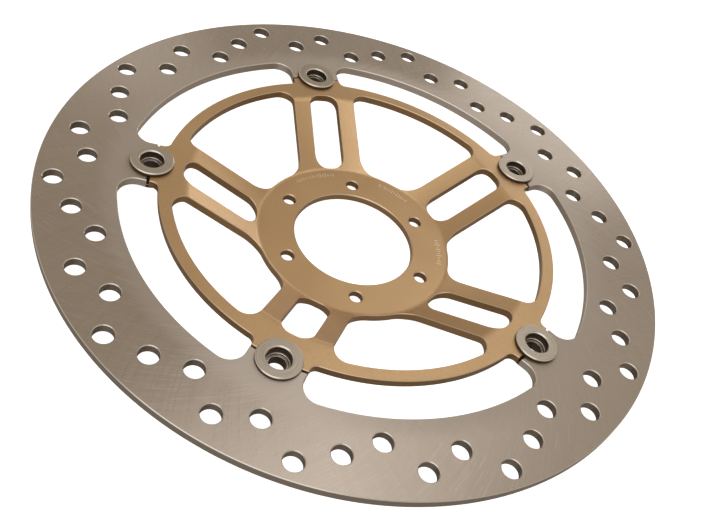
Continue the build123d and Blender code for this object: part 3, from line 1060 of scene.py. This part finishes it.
# %% The ticks' finish and their places
STAMP_SPECK, STAMP_PATCH = 0.4 * MM, 4 * MM
STAMP_DEEP, STAMP_PALE = (0.78, 0.61, 0.42), (0.95, 0.80, 0.60)
TICK_CIRCLE = 45.5 * MM
TICK_GAP = 1.5 * MM
TICK_PROUD = 0.01 * MM
TICK_WIDTH, TICK_LENGTH, TICK_DEPTH = 0.45 * MM, 3.3 * MM, 0.3 * MM
TICK_SEED = 7
TICK_HEIGHT = CARRIER_THICKNESS + TICK_PROUD - TICK_DEPTH / 2
tick_rows = ((radians(22), 17 * MM), (radians(82), 16 * MM), (radians(140), 22 * MM))


def stamped_metal():
    """Paler than the anodised face, because a stamp breaks through the oxide."""
    material, tree, shader, place, _ = metal("stamped marks")
    grain = placed(tree, "fine_grain", {"Place": place, "Speck Size": STAMP_SPECK, "Patch Size": STAMP_PATCH})
    colour = mixed(tree, between(tree, grain["Speck"], 0, 1), STAMP_DEEP, STAMP_PALE)
    tree.links.new(colour, shader.inputs["Base Color"])
    tree.links.new(between(tree, grain["Patch"], 0.3, 0.5), shader.inputs["Roughness"])
    return material


tick_points = []
for middle, length in tick_rows:
    count = round(length / TICK_GAP)
    for i in range(count + 1):
        angle = middle + (i - count / 2) * TICK_GAP / TICK_CIRCLE
        tick_points.append((TICK_CIRCLE * cos(angle), TICK_CIRCLE * sin(angle), TICK_HEIGHT))
tick_mesh = bpy.data.meshes.new("tick places")
tick_mesh.from_pydata(tick_points, [], [])
hub_ticks = to_mesh_object(added("tick places", tick_mesh), ticks_tree(), {
    "Width": TICK_WIDTH, "Length": TICK_LENGTH, "Depth": TICK_DEPTH, "Seed": TICK_SEED,
    "Finish": stamped_metal()}, "hub_ticks")
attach(hub_ticks, "carrier")

# %% [markdown]
# ## Floor and light
# The disc lies on a plain pale table under soft lamps. Metal shows what it reflects, so the lamps and the room
# matter more than the metal's own colour. One lamp hangs overhead, one stands low behind, and smaller ones
# stand high and at both sides, where faces and slopes mirror them towards the camera. A wide one in front
# reaches the walls. The room goes from a warm wall to a paler ceiling, and the eye alone sees it as white.

# %% Floor
FLOOR_SIZE = 3.0
FLOOR_HEIGHT = -0.4 * MM
WHITE = (1, 1, 1, 1)
floor_mesh = bpy.data.meshes.new("floor")
floor_corners = ((-1, -1), (1, -1), (1, 1), (-1, 1))
corners = [(x * FLOOR_SIZE, y * FLOOR_SIZE, FLOOR_HEIGHT) for x, y in floor_corners]
floor_mesh.from_pydata(corners, [], [(0, 1, 2, 3)])
floor = added("floor", floor_mesh)
paper = bpy.data.materials.new("pale table")
paper.use_nodes = True
paper_shader = paper.node_tree.nodes["Principled BSDF"]
paper_shader.inputs["Base Color"].default_value = (0.7, 0.69, 0.67, 1)
paper_shader.inputs["Roughness"].default_value = 0.9
paper_shader.inputs["Specular IOR Level"].default_value = 0.0
# The table glows for the eye alone, so that it stays white around the disc but casts no light on the metal.
paper_shader.inputs["Emission Color"].default_value = WHITE
seen = node(paper.node_tree, "ShaderNodeLightPath").outputs["Is Camera Ray"]
paper.node_tree.links.new(seen, paper_shader.inputs["Emission Strength"])
floor_mesh.materials.append(paper)

# %% Lights
WALL_LIGHT = (0.34, 0.30, 0.245)
CEILING_LIGHT = (0.47, 0.44, 0.39)
WALL_TOP, CEILING_EDGE = 0.05, 0.5    # upward share of the direction where one begins to turn into the other
world = bpy.data.worlds.new("studio")
world.use_nodes = True
sky = world.node_tree
direction = node(sky, "ShaderNodeTexCoord").outputs["Generated"]
up = split(sky, direction)[2]
climb = node(sky, "ShaderNodeMapRange", {0: up, 1: WALL_TOP, 2: CEILING_EDGE}, interpolation_type="SMOOTHSTEP")
studio = mixed(sky, climb.outputs[0], WALL_LIGHT, CEILING_LIGHT)
# Beyond the table the room is white to the eye too, as behind a part on a light box.
eye = node(sky, "ShaderNodeLightPath").outputs["Is Camera Ray"]
backdrop = mixed(sky, eye, studio, WHITE[:3])
sky.links.new(backdrop, sky.nodes["Background"].inputs["Color"])
bpy.context.scene.world = world
bpy.context.scene.view_settings.view_transform = "Standard"


def soft_lamp(name, azimuth, elevation, distance, size, power):
    """A square lamp that looks at the disc. Azimuth runs from +X towards +Y, in degrees."""
    lamp_data = bpy.data.lights.new(name, "AREA")
    lamp_data.shape = "SQUARE"
    lamp_data.size = size
    lamp_data.energy = power
    lamp_data.color = LAMP_COLOUR
    turn, tilt = radians(azimuth), radians(elevation)
    where = Vector((cos(turn) * cos(tilt), sin(turn) * cos(tilt), sin(tilt))) * distance
    facing = (-where).to_track_quat("-Z", "Y").to_matrix().to_4x4()
    added(name, lamp_data).matrix_world = Matrix.Translation(where) @ facing


LAMP_COLOUR = (0.86, 0.92, 1.0)
soft_lamp("lamp overhead", 100, 86, 1.5, 0.7, 3.0)
soft_lamp("lamp high", 79, 58, 1.5, 0.4, 0.65)
soft_lamp("lamp behind", 82, 19, 1.5, 0.5, 1.7)
soft_lamp("lamp right", 74, 46, 1.5, 0.3, 0.14)
soft_lamp("lamp left", 125, 28, 1.5, 0.3, 0.3)
soft_lamp("lamp front", -95, 40, 1.6, 1.8, 5.0)
